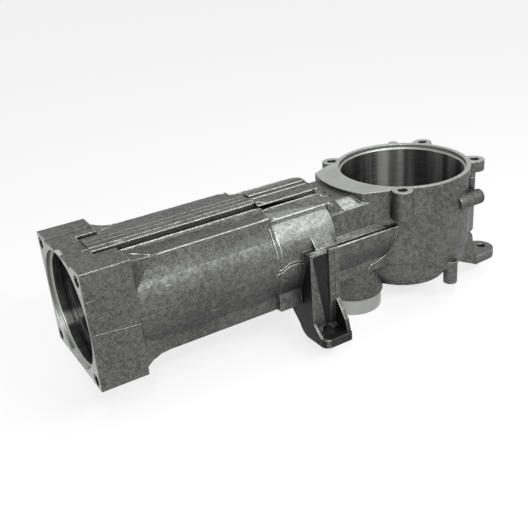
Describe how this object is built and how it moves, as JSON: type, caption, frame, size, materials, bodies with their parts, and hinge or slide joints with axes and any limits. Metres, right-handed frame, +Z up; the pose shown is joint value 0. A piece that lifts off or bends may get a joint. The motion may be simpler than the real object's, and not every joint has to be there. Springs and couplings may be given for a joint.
{
  "type": "gear motor housing",
  "caption": "Die cast right-angle gear motor housing: motor barrel with square flange, neck, round gear chamber, feet and a spigot.",
  "frame": {"origin": "gear axis at the machined lid face", "axes": "+Z up out of the gear bore, +X from the motor flange towards the gear chamber, +Y completes the frame"},
  "size_m": [0.3257, 0.116, 0.1067],
  "materials": {
    "cast_aluminium": "as cast, faces and bores machined"
  },
  "bodies": {
    "root": {"housing": "cast_aluminium"}
  },
  "joints": []
}
